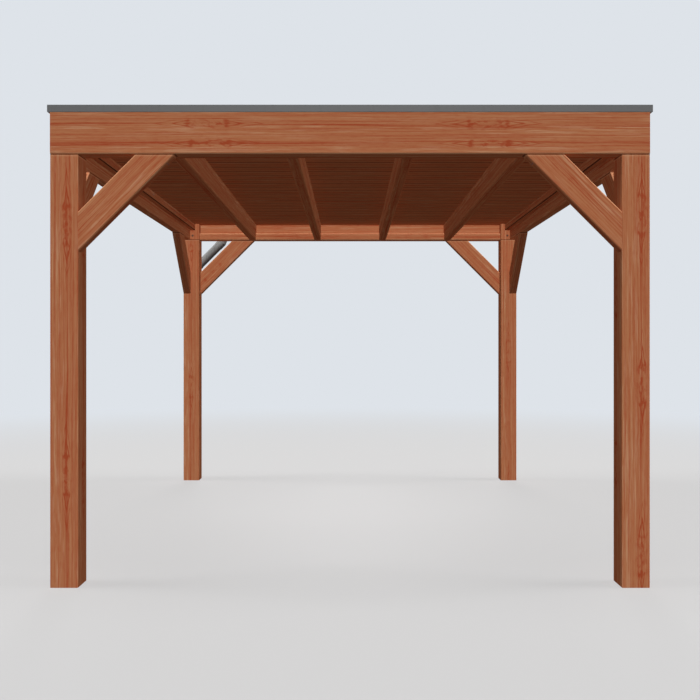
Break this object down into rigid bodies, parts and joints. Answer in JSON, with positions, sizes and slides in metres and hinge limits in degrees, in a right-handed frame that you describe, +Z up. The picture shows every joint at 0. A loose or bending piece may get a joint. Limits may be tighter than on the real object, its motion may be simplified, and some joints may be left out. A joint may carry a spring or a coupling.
{
  "type": "patio cover",
  "caption": "Free-standing flat-roofed timber patio cover: square posts, knee braces, ring beam, rafters, boarded roof with metal edge trim and a rear downpipe.",
  "frame": {"origin": "on the ground, at the middle of the whole footprint, downpipe included", "axes": "+Z up, +X to the right seen from the front, +Y from the front to the rear"},
  "size_m": [3.021, 3.6088, 2.412],
  "materials": {
    "stained_timber": "satin red-brown stain on planed softwood",
    "roof_boards": "satin red-brown stain on planed boards",
    "membrane": "matt black rubber sheet",
    "roof_trim": "satin mill aluminium, dulled grey",
    "rainwater_pipe": "semi-matt grey plastic",
    "pipe_clip": "semi-matt grey plastic"
  },
  "bodies": {
    "root": {"downpipe": "rainwater_pipe", "front_beam": "stained_timber", "front_ledger": "stained_timber", "front_left_brace": "stained_timber", "front_left_post": "stained_timber", "front_right_brace": "stained_timber", "front_right_post": "stained_timber", "front_trim": "roof_trim", "left_beam": "stained_timber", "left_front_brace": "stained_timber", "left_ledger": "stained_timber", "left_rear_brace": "stained_timber", "left_trim": "roof_trim", "lower_elbow": "rainwater_pipe", "offset_pipe": "rainwater_pipe", "pipe_clip_1": "pipe_clip", "pipe_clip_2": "pipe_clip", "pipe_clip_3": "pipe_clip", "rafter_1": "stained_timber", "rafter_2": "stained_timber", "rafter_3": "stained_timber", "rafter_4": "stained_timber", "rear_beam": "stained_timber", "rear_ledger": "stained_timber", "rear_left_brace": "stained_timber", "rear_left_post": "stained_timber", "rear_right_brace": "stained_timber", "rear_right_post": "stained_timber", "rear_trim": "roof_trim", "right_beam": "stained_timber", "right_front_brace": "stained_timber", "right_ledger": "stained_timber", "right_rear_brace": "stained_timber", "right_trim": "roof_trim", "roof_deck": "roof_boards", "roof_membrane": "membrane", "roof_outlet": "rainwater_pipe", "upper_elbow": "rainwater_pipe"}
  },
  "joints": []
}
